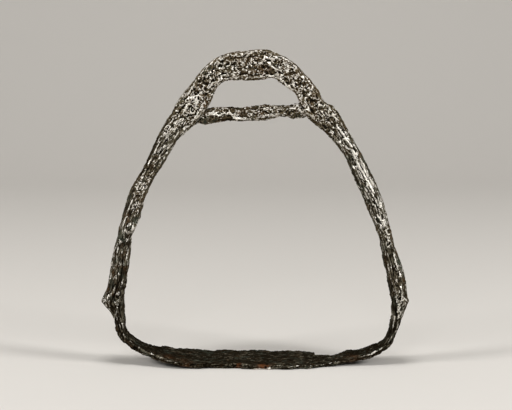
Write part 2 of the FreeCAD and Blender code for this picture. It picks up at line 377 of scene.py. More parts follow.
# How far apart the levels of the facets are, and how far the facets lean
FACET_LEVELS = 0.4
FACET_LEAN = 0.7

# Width of the splits in the grain's noise, and how much finer and shallower the fibres between them are
SPLIT_WIDTH = 0.09
FIBRE_FINENESS = 1.6
FIBRE_DEPTH_SHARE = 0.6

# Depth of the round holes as a share of the pits' depth. The brown patches are smoother than the iron around
# them, and sunk by a share of the edge height
HOLE_DEPTH_SHARE = 0.7
PATCH_SMOOTHING = 0.3
PATCH_DEPTH_SHARE = 0.5

# The outer side of the bar: none of it where a normal's Y is over the first of these, and all of it where it
# is under the second and this far out from the middle line
OUTSIDE_START = 0.6
OUTSIDE_FULL = 0.1
OUTSIDE_REACH = 2 * MM

# How far a spot stands out is measured from its surroundings, smoothed in so many rounds, and counts in full
# at so many wear heights
EDGE_ROUNDS = 8
EDGE_STEPS = 3
FINE_ROUNDS = 3
COARSE_ROUNDS = 14
COARSE_STEPS = 4
FINE_WEAR = 0.8
COARSE_WEAR = 0.4

# A face looks square to the front or the back where its normal's Y is over this; such faces are painted
# brighter and the bevels between them darker
SQUARE_ON = 0.95

# Roughness of the fractal noise, and how much finer each octave is than the one before
FRACTAL_DIMENSION = 0.8
LACUNARITY = 2.1

# Each of these noises is read this far off, so that no two of them follow each other
HOLE_NOISE = 5
FRAY_NOISE = 7
FIBRE_NOISE = 11
BREAK_NOISE = 21
LONG_FACET_NOISE = 31
BITE_NOISE = 57

# How far the walls of the cells sway and how finely, and what spreads their centres so that each cell draws
# a value of its own
CELL_SWAY = 0.35
CELL_SWAY_FINENESS = 1.7
CELL_SPREAD = 7.3

# The tread's frayed edges: length of the bites, their change over the height, how much of the edge is bitten
# and how steeply, and the smoothing rounds that tell which side is near
FRAY_LENGTH = 6 * MM
FRAY_RISE = 30 * MM
FRAY_BIAS = 0.1
FRAY_GAIN = 2
FRAY_ROUNDS = 24
FRAY_SIDE_GAIN = 3

# Size of the faces of the remade meshes, as shares of the mesh step
CROSS_BAR_STEP_SHARE = 0.7
TREAD_STEP_SHARE = 1.2

# Sizes of the finish's patterns. The grit is coarser than real rust, whose grains are too fine to show
SWAY_WIDTH = 3 * MM
SWAY = 1.8 * MM
STREAK_WIDTH = 0.8 * MM
FACET_WIDTH = 0.65 * MM
CALM_WIDTH = 5 * MM
ZONE_WIDTH = 4 * MM
STAIN_WIDTH = 2.5 * MM
GRIT_WIDTH = 0.6 * MM
GRIT_HEIGHT = 0.45 * MM

# How much longer than wide the streaks along the arms, and the facets on the crown, are
STREAK_STRETCH = 2.5
CROWN_STRETCH = 1.6

# What makes a spot bare besides fine specks: standing out over its surroundings, and zones of a few
# millimetres
WEAR_WEIGHT = 1.1
ZONE_WEIGHT = 0.6

# Metal is wholly bare this far over the level where it starts to be. The oxide starts to be worn this far
# below that level, and is half worn this far over it
BARE_SPAN = 0.55
WORN_BELOW = 1.9
WORN_ABOVE = 0.2

# Patches of scale: size, the levels of the noise where each starts and is full, and its colour in the finish
ARM_PATCHES = ((7 * MM, 0.50, 0.64, "brown"), (6 * MM, 0.50, 0.64, "green"))
TREAD_PATCHES = ((1.6 * MM, 0.54, 0.84, "brown"), (2 * MM, 0.52, 0.72, "green"))

# The iron that the arms and the cross bar share
ARM_IRON = "forged_wrought_iron"


def linear(hex_colour):
    """An sRGB hex colour as linear red, green, blue and alpha."""
    values = [int(hex_colour[i:i + 2], 16) / 255 for i in (1, 3, 5)]
    return [v / 12.92 if v <= 0.04045 else ((v + 0.055) / 1.055) ** 2.4 for v in values] + [1.0]


def smooth_step(low, high, values):
    """A smooth slope from 0 at low to 1 at high, flat beyond both. High may be the smaller."""
    share = np.clip((values - low) / (high - low), 0, 1)
    return share * share * (3 - 2 * share)


class StirrupIron(bpy.types.PropertyGroup):
    """Sizes of what the hammer and the rust left on the surface."""
    seed: bpy.props.IntProperty(
        name="Seed", description="Which draw of the wandering marks is taken", default=1, min=1)
    mesh_step: bpy.props.FloatProperty(
        name="Mesh step", description="Edge length of the reworked mesh",
        default=0.3 * MM, unit="LENGTH", precision=5)
    hammer_width: bpy.props.FloatProperty(
        name="Hammer mark width", description="Spacing of the hammer's soft dents",
        default=9 * MM, unit="LENGTH")
    hammer_depth: bpy.props.FloatProperty(
        name="Hammer mark depth", description="Depth of the hammer's soft dents",
        default=0.35 * MM, unit="LENGTH")
    lump_width: bpy.props.FloatProperty(
        name="Lump width", description="Spacing of the lumps that rust left",
        default=3.2 * MM, unit="LENGTH")
    lump_depth: bpy.props.FloatProperty(
        name="Lump depth", description="Height of the lumps on the crown", default=0.6 * MM, unit="LENGTH")
    grain_width: bpy.props.FloatProperty(
        name="Grain width", description="Spacing of the slag grain across the bar",
        default=1.3 * MM, unit="LENGTH")
    grain_length: bpy.props.FloatProperty(
        name="Grain length", description="Length of the slag grain along the bar",
        default=9 * MM, unit="LENGTH")
    grain_depth: bpy.props.FloatProperty(
        name="Grain depth", description="Depth of the splits along the grain",
        default=0.4 * MM, unit="LENGTH")
    flake_width: bpy.props.FloatProperty(
        name="Flake width", description="Size of the patches where scale has flaked off",
        default=4 * MM, unit="LENGTH")
    flake_depth: bpy.props.FloatProperty(
        name="Flake depth", description="Thickness of the lost scale", default=0.3 * MM, unit="LENGTH")
    pit_width: bpy.props.FloatProperty(
        name="Pit width", description="Spacing of the larger rust pits", default=2.3 * MM, unit="LENGTH")
    pit_depth: bpy.props.FloatProperty(
        name="Pit depth", description="Depth of the larger rust pits", default=0.5 * MM, unit="LENGTH")
    edge_height: bpy.props.FloatProperty(
        name="Edge height", description="Height of the edges left standing",
        default=0.35 * MM, unit="LENGTH")
    chip_width: bpy.props.FloatProperty(
        name="Chip width", description="Size of the broken facets", default=1.8 * MM, unit="LENGTH")
    chip_depth: bpy.props.FloatProperty(
        name="Chip depth", description="How far the broken facets stand out",
        default=0.35 * MM, unit="LENGTH")
    nibble_width: bpy.props.FloatProperty(
        name="Nibble width", description="Spacing of the bites out of the edges",
        default=1.8 * MM, unit="LENGTH")
    nibble_depth: bpy.props.FloatProperty(
        name="Nibble depth", description="Depth of the bites out of the edges",
        default=2.6 * MM, unit="LENGTH")
    fray_depth: bpy.props.FloatProperty(
        name="Fray depth", description="How far rust bites into the tread's long edges",
        default=0.9 * MM, unit="LENGTH")
    wear_step: bpy.props.FloatProperty(
        name="Wear height", description="Height over its surroundings at which a spot is rubbed bright",
        default=0.06 * MM, unit="LENGTH", precision=5)


class StirrupFinish(bpy.types.PropertyGroup):
    """Colours of the iron."""
    # Darkest scale in the pits, which the material also lays over every low spot as painted shade
    hollow_scale_and_shade: bpy.props.FloatVectorProperty(
        name="Hollows", description="Darkest scale, in the pits", subtype="COLOR", size=4,
        default=linear("#100d08"))
    oxide: bpy.props.FloatVectorProperty(
        name="Oxide", description="Dark scale", subtype="COLOR", size=4, default=linear("#251f16"))
    plate_oxide: bpy.props.FloatVectorProperty(
        name="Plate oxide", description="Dark scale on the tread", subtype="COLOR", size=4,
        default=linear("#1d1810"))
    worn: bpy.props.FloatVectorProperty(
        name="Worn oxide", description="Grey scale, half rubbed away", subtype="COLOR", size=4,
        default=linear("#6a6455"))
    worn_brown: bpy.props.FloatVectorProperty(
        name="Worn crown", description="Half-worn scale on the crown", subtype="COLOR", size=4,
        default=linear("#6c5f48"))
    brown: bpy.props.FloatVectorProperty(
        name="Brown rust", description="Brown patches", subtype="COLOR", size=4, default=linear("#4d3926"))
    rust: bpy.props.FloatVectorProperty(
        name="Rust stain", description="Patches on the crown", subtype="COLOR", size=4,
        default=linear("#5f4935"))
    green: bpy.props.FloatVectorProperty(
        name="Grey-green scale", description="Cool patches", subtype="COLOR", size=4,
        default=linear("#3f443b"))
    # Bright metal where the iron is worn, also used as painted glints and highlights on specks, rims, ridges
    # and faces to the front
    bare_and_glint: bpy.props.FloatVectorProperty(
        name="Bare iron", description="Rubbed high places", subtype="COLOR", size=4,
        default=linear("#ded9d0"))
    orange: bpy.props.FloatVectorProperty(
        name="Orange rust", description="Fresh rust on the tread", subtype="COLOR", size=4,
        default=linear("#7f4826"))


class StirrupStage(bpy.types.PropertyGroup):
    """Camera and light."""
    camera_distance: bpy.props.FloatProperty(
        name="Camera distance", description="From the camera to its aim", default=850 * MM, unit="LENGTH")
    camera_rise: bpy.props.FloatProperty(
        name="Camera rise", description="Angle of the view down on the stirrup", default=math.radians(8.726),
        subtype="ANGLE")
    camera_aim: bpy.props.FloatProperty(
        name="Aim height", description="Height of the picture's middle", default=76.4 * MM, unit="LENGTH")
    lens: bpy.props.FloatProperty(name="Lens", description="Focal length", default=125.8, unit="CAMERA")
    floor: bpy.props.FloatVectorProperty(
        name="Floor", description="Colour of the floor", subtype="COLOR", size=4, default=linear("#d3cfc9"))
    lamp_power: bpy.props.FloatProperty(
        name="Lamp power", description="Power of the main lamp", default=9.0, unit="POWER")
    sky: bpy.props.FloatVectorProperty(
        name="Sky", description="Colour of the even light", subtype="COLOR", size=4,
        default=linear("#cfccc7"))
    sky_strength: bpy.props.FloatProperty(
        name="Sky strength", description="Strength of the even light", default=0.2)


def forged_copy(node, step):
    """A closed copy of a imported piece, remade in even small faces so that it can be dented."""
    shell = bmesh.new()
    shell.from_mesh(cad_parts[node].data)
    bmesh.ops.remove_doubles(shell, verts=shell.verts, dist=0.01 * MM)
    mesh = bpy.data.meshes.new(node + "_shell")
    shell.to_mesh(mesh)
    shell.free()
    blank = bpy.data.objects.new(node + "_shell", mesh)
    piece = bpy.data.objects.new(node + "_forged", mesh)
    for item in (blank, piece):
        bpy.context.scene.collection.objects.link(item)
    remesh = piece.modifiers.new("even_faces", "REMESH")
    remesh.mode = "VOXEL"
    remesh.voxel_size = step
    # The even faces lie in small terraces, so each point goes back onto the piece's own surface
    seat = piece.modifiers.new("seated_points", "SHRINKWRAP")
    seat.target = blank
    seat.wrap_method = "NEAREST_SURFACEPOINT"
    piece.data = bpy.data.meshes.new_from_object(piece.evaluated_get(bpy.context.evaluated_depsgraph_get()))
    piece.modifiers.clear()
    bpy.data.objects.remove(blank)
    bpy.data.meshes.remove(mesh)
    return piece


def points_of(mesh):
    """The place of each vertex."""
    values = np.empty(len(mesh.vertices) * 3)
    mesh.vertices.foreach_get("co", values)
    return values.reshape(-1, 3)


def normals_of(mesh):
    """The way that each vertex faces."""
    values = np.empty(len(mesh.vertices) * 3)
    mesh.vertex_normals.foreach_get("vector", values)
    return values.reshape(-1, 3)


def lay_along(points, shares):
    """Places along and across a piece's middle line, and its depth from front to back."""
    line = np.array(shares) * (HALF_WIDTH, HEIGHT)
    flat = points[:, (0, 2)]
    best = np.full(len(points), np.inf)
    along = np.zeros(len(points))
    across = np.zeros(len(points))
    run = 0.0
    for start, end in zip(line[:-1], line[1:]):
        length = np.linalg.norm(end - start)
        way = (end - start) / length
        place = np.clip((flat - start) @ way, 0, length)
        off = flat - start - place[:, None] * way
        distance = np.linalg.norm(off, axis=1)
        nearer = distance < best
        side = way[0] * off[:, 1] - way[1] * off[:, 0]
        best[nearer] = distance[nearer]
        along[nearer] = run + place[nearer]
        across[nearer] = side[nearer]
        run += length
    return np.stack([along, across, points[:, 1]], axis=1)


def spread(points, spots):
    """What a table of spots on the front adds up to at each place."""
    total = np.zeros(len(points))
    for across, up, reach, strength in spots:
        distance = np.hypot(points[:, 0] - across * HALF_WIDTH, points[:, 2] - up * HEIGHT)
        total += strength * np.exp(-(distance / (reach * HEIGHT)) ** 2)
    return total


def spread_on_tread(points):
    """What the stains on the tread add up to at each place."""
    total = np.zeros(len(points))
    for across, back, reach, strength in TREAD_RUST_SHARES:
        distance = np.hypot(points[:, 0] - across * HALF_WIDTH, points[:, 1] - back * HALF_DEPTH)
        total += strength * np.exp(-(distance / (reach * HALF_WIDTH)) ** 2)
    return total * smooth_step(STAIN_END_SHARE, STAIN_FULL_SHARE, points[:, 2] / HEIGHT)


def drawn_lines(points, lines):
    """How strongly a table of lines marks each place: their shares on them and 0 beside them."""
    total = np.zeros(len(points))
    for width, height, shares in lines:
        line = np.array(shares) * (HALF_WIDTH, HEIGHT)
        nearest = np.full(len(points), np.inf)
        for start, end in zip(line[:-1], line[1:]):
            way = end - start
            off = points[:, (0, 2)] - start
            share = np.clip(off @ way / (way @ way), 0, 1)
            nearest = np.minimum(nearest, np.linalg.norm(off - share[:, None] * way, axis=1))
        total = np.maximum(total, height * np.exp(-(nearest / (width * MM)) ** 2))
    return total


def holes(points):
    """Round holes as -1 on their floors and 1 on their rims."""
    total = np.zeros(len(points))
    points = points + HOLE_WANDER * sampled(points / HOLE_WANDER_WIDTH + HOLE_NOISE, noise.noise_vector)
    for (across, up), radius in HOLE_SHARES:
        distance = np.hypot(points[:, 0] - across * HALF_WIDTH, points[:, 2] - up * HEIGHT) / (radius * MM)
        rim = np.exp(-((distance - 1) / HOLE_RIM_SHARE) ** 2)
        total += rim - np.exp(-(distance / HOLE_FLOOR_SHARE) ** 4)
    return total


def sampled(places, pick):
    """A noise function's value at each place."""
    return np.array([pick(Vector(place)) for place in places])


def cloud(places, octaves):
    """Fractal noise about zero."""
    return sampled(places, lambda place: noise.fractal(place, FRACTAL_DIMENSION, LACUNARITY, octaves))


def crests(places, width):
    """Thin winding crests: 1 along them and 0 between."""
    return np.exp(-(sampled(places, noise.noise) / width) ** 2)


def cell(place):
    """How far the nearest centres of swaying cells are from a place, and where they are."""
    return noise.voronoi(place + noise.noise_vector(place * CELL_SWAY_FINENESS) * CELL_SWAY)


def pits(places, fill):
    """Pits with steep walls in a share of all cells: how deep each place is, and 1 along the cells' rims."""
    def pit(place):
        distances, centres = cell(place)
        depth = noise.cell(centres[0] * CELL_SPREAD) * 0.5 + 0.5
        return distances[1] - distances[0], depth
    rim, depth = sampled(places, pit).T
    deep = np.where(depth < fill, LEAST_PIT + depth, 0)
    return smooth_step(PIT_WALL_TOP, PIT_WALL_FOOT, rim) * deep, np.exp(-(rim / PIT_RIM_WIDTH) ** 2)


def chips(places, lean):
    """Broken facets, one to a cell, each at its own level and leaning its own way, and the tone of each as
    painted light and shade.
    """
    def chip(place):
        centre = cell(place)[1][0]
        draw = noise.cell_vector(centre * CELL_SPREAD)
        return FACET_LEVELS * draw.x + lean * (place - centre).dot(draw), draw.y
    return sampled(places, chip).T


def edge_list(mesh):
    """The two ends of each edge, and how many edges meet at each vertex."""
    edges = np.empty(len(mesh.edges) * 2, dtype=np.int32)
    mesh.edges.foreach_get("vertices", edges)
    return edges.reshape(-1, 2), np.bincount(edges, minlength=len(mesh.vertices))


def neighbour_mean(values, edges, count):
    """The mean of each vertex's neighbours."""
    total = np.zeros_like(values)
    np.add.at(total, edges[:, 0], values[edges[:, 1]])
    np.add.at(total, edges[:, 1], values[edges[:, 0]])
    return total / count[:, None]


def proud(mesh, rounds):
    """How far each vertex stands out over its surroundings."""
    points = points_of(mesh)
    edges, count = edge_list(mesh)
    level = points
    for _ in range(rounds):
        level = (level + neighbour_mean(level, edges, count)) / 2
    return np.einsum("ij,ij->i", points - level, normals_of(mesh))


def store(mesh, name, values):
    """Keep one value or one vector for each vertex, for the materials."""
    kind = "FLOAT" if values.ndim == 1 else "FLOAT_VECTOR"
    attribute = mesh.attributes.new(name, kind, "POINT")
    attribute.data.foreach_set("value" if values.ndim == 1 else "vector", values.astype(np.float32).ravel())


def fray(piece, depth):
    """Rust bites out of a plate's long edges, front and back."""
    mesh = piece.data
    points = points_of(mesh)
    side = normals_of(mesh)[:, 1:2]
    edges, count = edge_list(mesh)
    for _ in range(FRAY_ROUNDS):
        side = (side + neighbour_mean(side, edges, count)) / 2
    side = side[:, 0]
    places = points * (1 / FRAY_LENGTH, 0, 1 / FRAY_RISE) + (0, FRAY_NOISE, 0) * np.sign(side)[:, None]
    bite = np.clip(FRAY_GAIN * (cloud(places, octaves=4) + FRAY_BIAS), 0, 1)
    points[:, 1] -= np.clip(side * FRAY_SIDE_GAIN, -1, 1) * bite * depth
    mesh.vertices.foreach_set("co", points.ravel())
    mesh.update()


def by_zone(strengths, crown):
    """A mark's strength at each place, between its values on the arms and on the crown."""
    on_arms, on_crown = strengths
    return on_arms + (on_crown - on_arms) * crown


def weather(piece, shares, iron, streaked=1.0, pitted=1.0, edge_rub=0.45, face_light_share=1.2, even_outside=0.0,
            stains=None):
    """Dent, split, flake and pit a piece, and store what its material reads."""
    # Without a seed, noise vectors change from run to run
    noise.seed_set(iron.seed)
    mesh = piece.data
    points = points_of(mesh)
    normals = normals_of(mesh)
    lay = lay_along(points, shares)
    crown = smooth_step(CROWN_START_SHARE, CROWN_FULL_SHARE, points[:, 2] / HEIGHT)
    crown = np.clip(crown + spread(points, PITTED_SHARES), 0, 1) * pitted

    # What the tables place, on the front alone
    front = smooth_step(FRONT_START, FRONT_FULL, normals[:, 1])
    wander = WANDER * sampled(points / WANDER_WIDTH, noise.noise_vector)
    whole = sampled(points / BREAK_WIDTH + BREAK_NOISE, noise.noise)
    whole = BROKEN_RIDGE + (1 - BROKEN_RIDGE) * smooth_step(BREAK_START, BREAK_END, whole)
    ridges = drawn_lines(points + wander, RIDGE_SHARES) * front * whole
    bands = drawn_lines(points + wander, BAND_SHARES) * front
    rings = holes(points + wander) * front
    if stains is None:
        rusty = np.clip(spread(points + 2 * wander, RUSTY_SHARES), 0, 1) * front
    else:
        rusty = np.clip(stains(points + 2 * wander), 0, 1)
    # The listed spots: wear, painted highlights and painted shade
    lit_and_rubbed_spots = spread(points, RUBBED_AND_LIT_SHARES)

    # What the hammer and the rust left all over
    edge = np.clip(proud(mesh, EDGE_ROUNDS) / (iron.wear_step * EDGE_STEPS), 0, 1)
    hammer = sampled(points / iron.hammer_width, noise.noise)
    lumps = cloud(points / iron.lump_width, octaves=3)
    grain = lay / (iron.grain_length, iron.grain_width, iron.grain_width)
    splits = crests(grain, SPLIT_WIDTH)
    fibres = cloud(grain * FIBRE_FINENESS + FIBRE_NOISE, octaves=3)
    flake = cloud(lay / (iron.flake_width * FLAKE_STRETCH, iron.flake_width, iron.flake_width), octaves=4)
    flake = flake - KEPT_AT_LISTED_SPOTS * lit_and_rubbed_spots
    lost = smooth_step(LOST_START, LOST_FULL, flake)
    rims = np.exp(-((flake - FLAKE_RIM) / FLAKE_RIM_WIDTH) ** 2)
    round_pits, pit_rims = pits(lay / iron.pit_width, ROUND_PIT_FILL)
    long_pits = pits(lay / LONG_PIT_SHAPE / iron.pit_width, LONG_PIT_FILL)[0]
    facets, facet_tone = chips(lay / iron.chip_width, FACET_LEAN)
    long_facets, long_tone = chips(lay / LONG_FACET_SHAPE / iron.chip_width + LONG_FACET_NOISE, FACET_LEAN)
    # Each facet's random tone is painted light and shade, as if each caught the light its own way
    tone = long_tone + crown * (facet_tone - long_tone)
    bites = edge * np.clip(cloud(points / iron.nibble_width + BITE_NOISE, octaves=3), 0, 1)
    relief = (
        hammer * iron.hammer_depth
        + lumps * iron.lump_depth * by_zone(LUMPS, crown)
        - splits * iron.grain_depth * streaked * by_zone(GRAIN, crown)
        + fibres * iron.grain_depth * FIBRE_DEPTH_SHARE * streaked * by_zone(GRAIN, crown)
        - (lost - 0.5) * iron.flake_depth
        + facets * iron.chip_depth * by_zone(FACETS, crown)
        + long_facets * iron.chip_depth * by_zone(LONG_FACETS, crown)
        - bites * iron.nibble_depth * by_zone(BITES, crown)
        - round_pits * iron.pit_depth * by_zone(ROUND_PITS, crown)
        - long_pits * iron.pit_depth * by_zone(LONG_PITS, crown)
    )
    outside = smooth_step(OUTSIDE_START, OUTSIDE_FULL, np.abs(normals[:, 1]))
    outside = outside * smooth_step(0, OUTSIDE_REACH, lay[:, 1])
    relief = relief * (1 - even_outside * outside) * (1 - PATCH_SMOOTHING * rusty)
    relief = relief + (ridges - bands - PATCH_DEPTH_SHARE * rusty) * iron.edge_height
    relief = relief + HOLE_DEPTH_SHARE * rings * iron.pit_depth
    moved = points + normals * relief[:, None]
    moved = np.clip(moved, np.array(CAD_LOW), np.array(CAD_HIGH))
    mesh.vertices.foreach_set("co", moved.ravel())
    mesh.update()

    fine = np.clip(proud(mesh, FINE_ROUNDS) / iron.wear_step, -1, 1)
    coarse = np.clip(proud(mesh, COARSE_ROUNDS) / (iron.wear_step * COARSE_STEPS), -1, 1)
    store(mesh, "wear", FINE_WEAR * fine + COARSE_WEAR * coarse)
    # How high a spot stands over a wide surrounding; the material darkens low spots with painted shade
    store(mesh, "rise", 0.5 + 0.5 * coarse)
    # What takes each spot towards bright metal: wear on edges and high places, painted highlights on ridges,
    # on the rims of pits, flakes and holes and on faces to the front, each facet's painted light and shade,
    # and painted shade in hole floors, on bevels and at the dark listed spots
    store(mesh, "rubbed", (
        lit_and_rubbed_spots
        + edge_rub * edge
        + face_light_share * (np.abs(normals[:, 1]) - SQUARE_ON) * by_zone(FACING_LIGHT, crown)
        + tone * by_zone(FACET_SHADING, crown)
        + rims * FLAKE_RIM_HIGHLIGHT
        + (pit_rims - PIT_RIM_MEAN) * crown * PIT_RIM_HIGHLIGHT
        + ridges * RIDGE_RUB_AND_HIGHLIGHT
        + rings * HOLE_HIGHLIGHT_AND_SHADE
        + lost * LOST_SCALE_RUB
        + bands * BAND_RUB
        + rusty * RUST_RUB))
    store(mesh, "rusty", rusty)
    store(mesh, "pitted", crown)
    store(mesh, "lay", lay)
    mesh.shade_smooth()


def dress(piece, node, material):
    """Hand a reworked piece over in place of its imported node."""
    piece.data.materials.clear()
    piece.data.materials.append(material)
    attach(piece, "root")
    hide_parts(node)


def add(tree, kind, inputs=(), output=0, **settings):
    """Add a node with its settings. Its inputs, by name or number, are values or sockets to link from. Numbers
    are the operands of a Math node. Of a Mix node 0 is the share, 2 and 3 are the values, and 6 and 7 are the
    colours, which come out mixed at 2."""
    node = tree.nodes.new(kind)
    for name, value in settings.items():
        setattr(node, name, value)
    for name, value in dict(inputs).items():
        if isinstance(value, bpy.types.NodeSocket):
            tree.links.new(value, node.inputs[name])
        else:
            node.inputs[name].default_value = value
    return node.outputs[output] if node.outputs else node


def wrought_iron(finish, name, scale, specks, bare_from, patches, stain_colour, patch_stretch=1):
    """Wrought iron, forged and long rusted: dark rough oxide in the hollows, deepened there by painted shade,
    and metal worn clean where hands, straps and boots wore it, which gives the eye bright broken specks on a
    brown-black ground. Many of the specks, with the rims and ridges, are painted glints and highlights."""
    material = bpy.data.materials.new(name)
    material.use_nodes = True
    tree = material.node_tree
    tree.nodes.clear()
    wear = add(tree, "ShaderNodeAttribute", output="Fac", attribute_name="wear")
    rubbed = add(tree, "ShaderNodeAttribute", output="Fac", attribute_name="rubbed")
    rise = add(tree, "ShaderNodeAttribute", output="Fac", attribute_name="rise")
    pitted = add(tree, "ShaderNodeAttribute", output="Fac", attribute_name="pitted")
    rusty = add(tree, "ShaderNodeAttribute", output="Fac", attribute_name="rusty")
    lay = add(tree, "ShaderNodeAttribute", output="Vector", attribute_name="lay")

    # Streaks along the arms and the tread, and smaller, weaker facets on the pitted crown, with calmer areas
    sway = add(tree, "ShaderNodeTexNoise", {"Vector": lay, "Scale": 1 / SWAY_WIDTH, "Detail": 2}, "Color")
    swayed = add(tree, "ShaderNodeVectorMath", {0: sway, 1: (SWAY,) * 3, 2: lay}, operation="MULTIPLY_ADD")
    long = add(tree, "ShaderNodeVectorMath", {
        0: swayed, 1: (1 / STREAK_STRETCH, 1, 1)}, operation="MULTIPLY")
    short = add(tree, "ShaderNodeVectorMath", {
        0: swayed, 1: (1 / CROWN_STRETCH, 1, 1)}, operation="MULTIPLY")
    streak = add(tree, "ShaderNodeTexVoronoi", {"Vector": long, "Scale": 1 / STREAK_WIDTH}, "Color")
    facet = add(tree, "ShaderNodeTexVoronoi", {"Vector": short, "Scale": 1 / FACET_WIDTH}, "Color")
    streak = add(tree, "ShaderNodeMath", {0: streak, 1: 0.5}, operation="SUBTRACT")
    facet = add(tree, "ShaderNodeMath", {0: facet, 1: 0.5, 2: -0.25}, operation="MULTIPLY_ADD")
    broken = add(tree, "ShaderNodeMix", {0: pitted, 2: streak, 3: facet})
    lively = add(tree, "ShaderNodeTexNoise", {"Vector": lay, "Scale": 1 / CALM_WIDTH, "Detail": 1})
    lively = add(tree, "ShaderNodeMapRange", {
        "Value": lively, "From Min": 0.4, "From Max": 0.6, "To Min": 0.25, "To Max": 1.35})
    broken = add(tree, "ShaderNodeMath", {0: broken, 1: lively}, operation="MULTIPLY")

    # How bare each spot is, and how strongly it is painted with glints: rubbed and painted-lit places,
    # standing places, specks, and zones of a few millimetres. The bright specks are partly worn metal and
    # partly painted glints
    zone = add(tree, "ShaderNodeTexNoise", {
        "Vector": lay, "Scale": 1 / ZONE_WIDTH, "Detail": 4, "Roughness": 0.7})
    bare_or_glint_level = add(tree, "ShaderNodeMath", {0: wear, 1: WEAR_WEIGHT, 2: rubbed}, operation="MULTIPLY_ADD")
    bare_or_glint_level = add(tree, "ShaderNodeMath", {0: broken, 1: specks, 2: bare_or_glint_level}, operation="MULTIPLY_ADD")
    bare_or_glint_level = add(tree, "ShaderNodeMath", {0: zone, 1: ZONE_WEIGHT, 2: bare_or_glint_level}, operation="MULTIPLY_ADD")
    bare_and_glint = add(tree, "ShaderNodeMapRange", {
        "Value": bare_or_glint_level, "From Min": bare_from, "From Max": bare_from + BARE_SPAN})
    worn = add(tree, "ShaderNodeMapRange", {
        "Value": bare_or_glint_level, "From Min": bare_from - WORN_BELOW, "From Max": bare_from + WORN_ABOVE})

    # Oxide with its patches, half worn where it is rubbed and where it is painted lit, stained, and darkest in
    # the hollows, where the dark scale is deepened by painted shade. The patches' noise is 4D, so that it
    # doesn't follow the noises above
    patched = add(tree, "ShaderNodeVectorMath", {0: lay, 1: (1 / patch_stretch, 1, 1)}, operation="MULTIPLY")
    ground = tuple(scale)
    for size, low, high, tint in patches:
        patch = add(tree, "ShaderNodeTexNoise", {
            "Vector": patched, "W": size, "Scale": 1 / size, "Detail": 4, "Roughness": 0.65},
            noise_dimensions="4D")
        share = add(tree, "ShaderNodeMapRange", {"Value": patch, "From Min": low, "From Max": high})
        tint = tuple(getattr(finish, tint))
        ground = add(tree, "ShaderNodeMix", {0: share, 6: ground, 7: tint}, 2, data_type="RGBA")
    half_worn = add(tree, "ShaderNodeMix", {
        0: pitted, 6: tuple(finish.worn), 7: tuple(finish.worn_brown)}, 2, data_type="RGBA")
    ground = add(tree, "ShaderNodeMix", {0: worn, 6: ground, 7: half_worn}, 2, data_type="RGBA")
    stain = add(tree, "ShaderNodeTexNoise", {
        "Vector": lay, "Scale": 1 / STAIN_WIDTH, "Detail": 3, "Roughness": 0.65})
    stain = add(tree, "ShaderNodeMapRange", {
        "Value": stain, "From Min": 0.35, "From Max": 0.6, "To Max": 0.7})
    stain = add(tree, "ShaderNodeMath", {0: stain, 1: rusty}, operation="MULTIPLY")
    ground = add(tree, "ShaderNodeMix", {0: stain, 6: ground, 7: tuple(stain_colour)}, 2, data_type="RGBA")
    # Painted shade: low spots darken towards the hollows colour
    outside_hollow_shade = add(tree, "ShaderNodeMapRange", {"Value": rise, "From Min": 0.2, "From Max": 0.65})
    hollow_scale_and_shade = tuple(finish.hollow_scale_and_shade)
    ground = add(tree, "ShaderNodeMix", {0: outside_hollow_shade, 6: hollow_scale_and_shade, 7: ground}, 2, data_type="RGBA")

    colour = add(tree, "ShaderNodeMix", {0: bare_and_glint, 6: ground, 7: tuple(finish.bare_and_glint)}, 2, data_type="RGBA")
    gloss = add(tree, "ShaderNodeMapRange", {"Value": bare_and_glint, "To Min": 0.5, "To Max": 0.33})
    grit = add(tree, "ShaderNodeTexNoise", {"Vector": lay, "Scale": 1 / GRIT_WIDTH, "Detail": 1})
    bump = add(tree, "ShaderNodeBump", {"Height": grit, "Strength": 1.0, "Distance": GRIT_HEIGHT})
    shader = add(tree, "ShaderNodeBsdfPrincipled", {
        "Base Color": colour, "Roughness": gloss, "Metallic": bare_and_glint, "Normal": bump,
        "Specular IOR Level": 0.0})
    add(tree, "ShaderNodeOutputMaterial", {"Surface": shader})
    return material


def arm_iron(finish):
    """The iron of the arms and the cross bar, made when it is first wanted."""
    made = bpy.data.materials.get(ARM_IRON)
    return made or wrought_iron(
        finish, ARM_IRON, finish.oxide, specks=5.2, bare_from=1.2, patches=ARM_PATCHES,
        stain_colour=finish.rust)


class STIRRUP_OT_arms(bpy.types.Operator):
    """Forge and weather both arms and the crown that they share"""
    bl_idname = "stirrup.arms"
    bl_label = "Arms"

    def execute(self, context):
        iron = context.scene.stirrup_iron
        material = arm_iron(context.scene.stirrup_finish)
        for node in ("left_arm", "right_arm"):
            piece = forged_copy(node, iron.mesh_step)
            weather(piece, BAR_LINE_SHARES, iron, even_outside=0.6)
            dress(piece, node, material)
        return {"FINISHED"}


class STIRRUP_OT_cross_bar(bpy.types.Operator):
    """Forge and weather the bar under the strap slot"""
    bl_idname = "stirrup.cross_bar"
    bl_label = "Cross bar"

    def execute(self, context):
        iron = context.scene.stirrup_iron
        material = arm_iron(context.scene.stirrup_finish)
        piece = forged_copy("cross_bar", iron.mesh_step * CROSS_BAR_STEP_SHARE)
        weather(piece, CROSS_BAR_LINE_SHARES, iron, streaked=0.6)
        dress(piece, "cross_bar", material)
        return {"FINISHED"}


